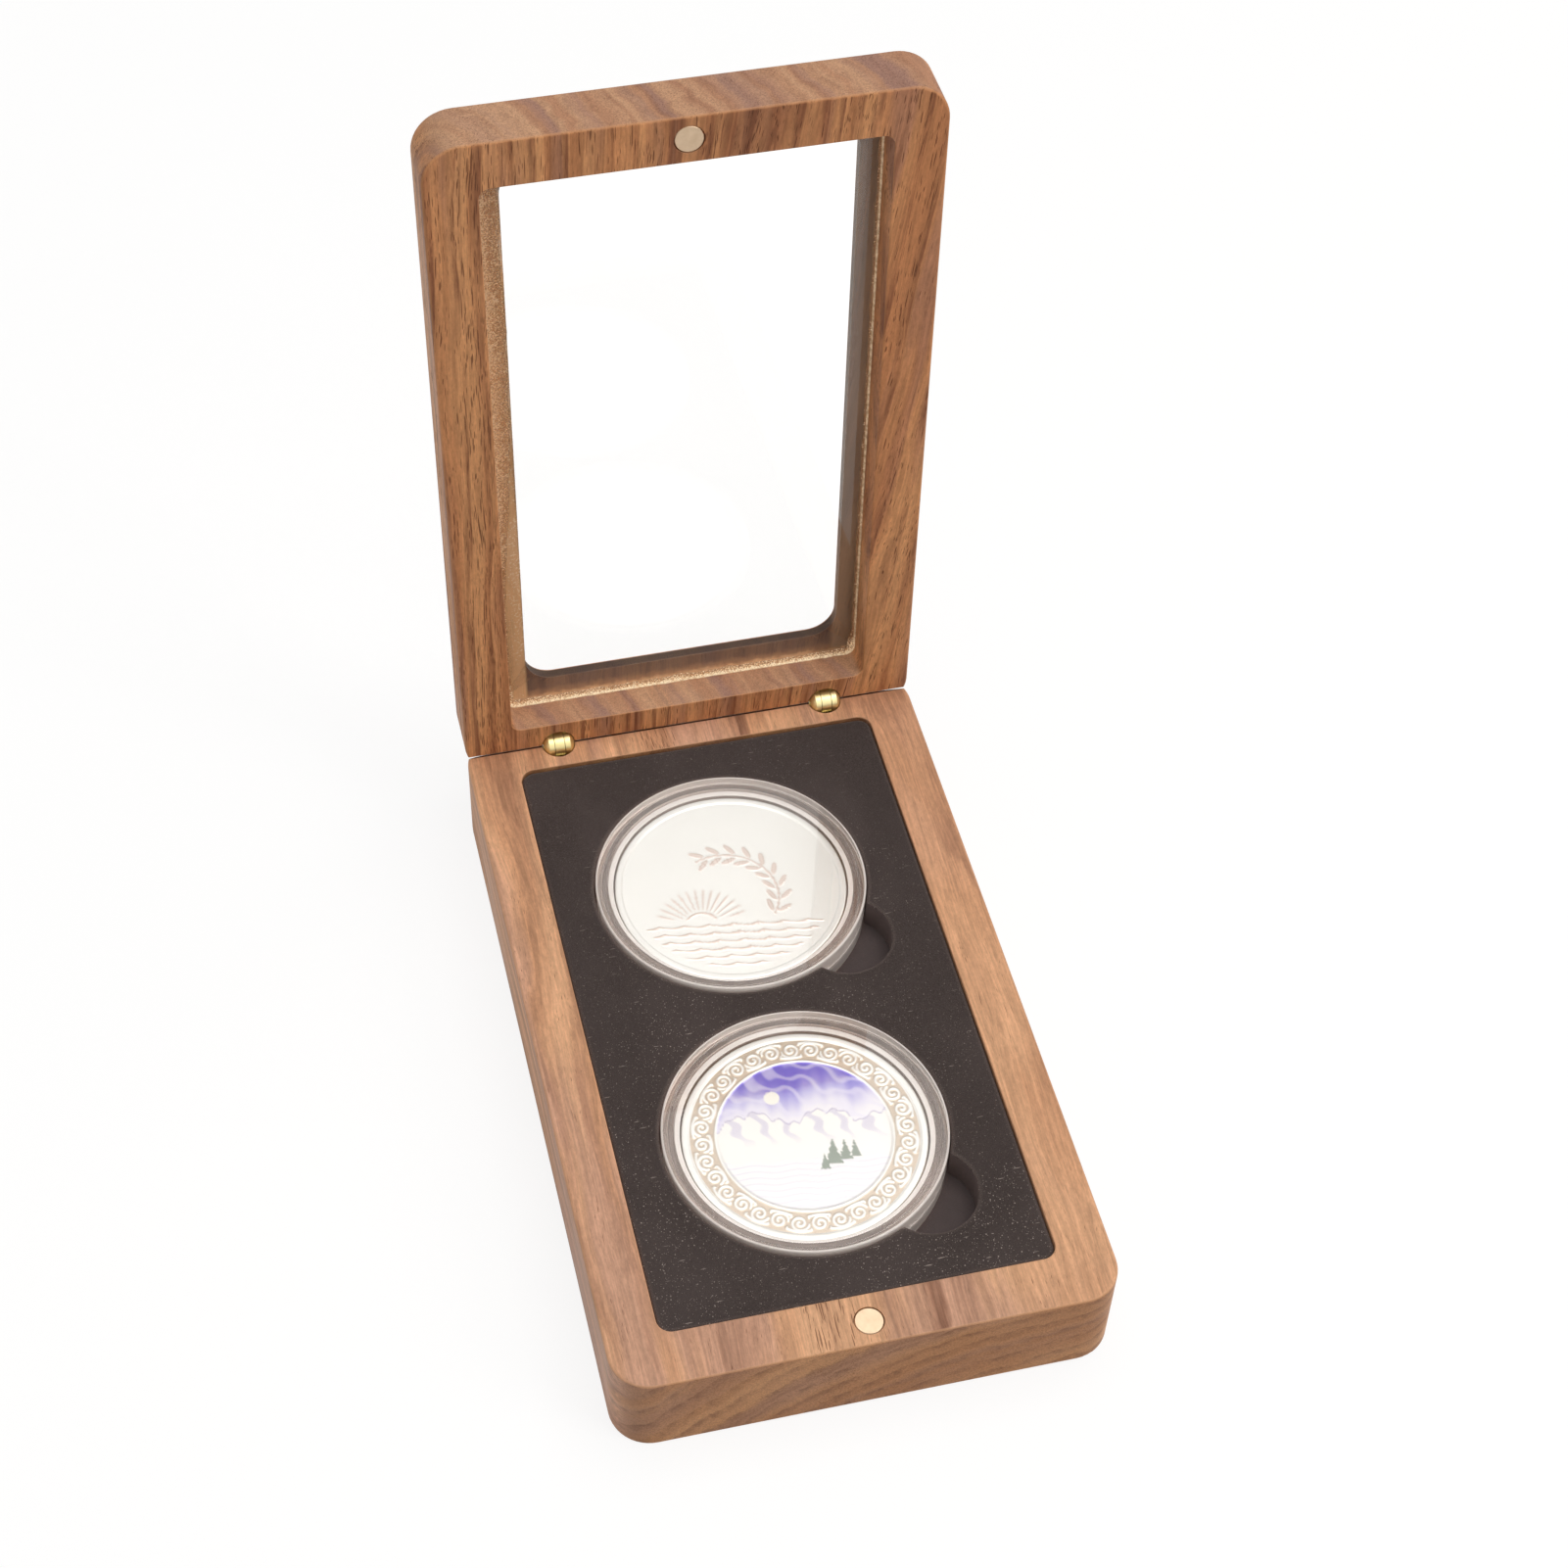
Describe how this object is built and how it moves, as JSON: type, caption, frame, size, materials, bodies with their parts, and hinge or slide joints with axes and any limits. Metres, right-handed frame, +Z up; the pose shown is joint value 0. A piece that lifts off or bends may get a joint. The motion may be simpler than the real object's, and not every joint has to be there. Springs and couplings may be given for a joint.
{
  "type": "coin display case",
  "caption": "Flat walnut case with a clear-windowed lid on hidden barrel hinges and a black velvet insert, which holds round clear coin capsules in recesses with finger notches.",
  "frame": {"origin": "middle of the base's flat underside", "axes": "+Z up out of the base, +X to the right, +Y to the back, where the lid stands open"},
  "size_m": [0.08, 0.1423, 0.1454],
  "materials": {
    "walnut": "oiled, satin",
    "brass": "bright turned",
    "magnet": "bright nickel plate",
    "velvet": "matt black flock",
    "foam": "matt closed-cell foam",
    "clear_acrylic": "clear polished sheet",
    "clear_adhesive": "clear set adhesive",
    "clear_capsule": "clear moulded plastic",
    "coin_silver": "struck satin silver"
  },
  "bodies": {
    "base": {"base_block": "walnut", "foam_pad": "foam", "foam_insert": "foam", "velvet_facing": "velvet", "base_magnet": "magnet", "hinge_left_base_barrel": "brass", "hinge_left_pin": "brass", "hinge_right_base_barrel": "brass", "hinge_right_pin": "brass"},
    "lid": {"lid_frame": "walnut", "window_pane": "clear_acrylic", "pane_adhesive": "clear_adhesive", "lid_magnet": "magnet", "hinge_left_lid_barrel": "brass", "hinge_right_lid_barrel": "brass"},
    "capsule_back": {"capsule_back_base": "clear_capsule", "coin_back": "coin_silver"},
    "capsule_back_lid": {"capsule_back_top": "clear_capsule"},
    "capsule_front": {"capsule_front_base": "clear_capsule", "coin_front": "coin_silver"},
    "capsule_front_lid": {"capsule_front_top": "clear_capsule"}
  },
  "joints": [
    {"name": "lid_hinge", "type": "hinge", "parent": "base", "child": "lid", "pos_m": [0, 0.0617, 0.0177], "axis": [-1, 0, 0], "range_deg": [-92, 0]},
    {"name": "capsule_back_lift", "type": "slide", "parent": "base", "child": "capsule_back", "axis": [0, 0, 1], "range_m": [0, 0.03]},
    {"name": "capsule_back_open", "type": "slide", "parent": "capsule_back", "child": "capsule_back_lid", "axis": [0, 0, 1], "range_m": [0, 0.015]},
    {"name": "capsule_front_lift", "type": "slide", "parent": "base", "child": "capsule_front", "axis": [0, 0, 1], "range_m": [0, 0.03]},
    {"name": "capsule_front_open", "type": "slide", "parent": "capsule_front", "child": "capsule_front_lid", "axis": [0, 0, 1], "range_m": [0, 0.015]}
  ]
}
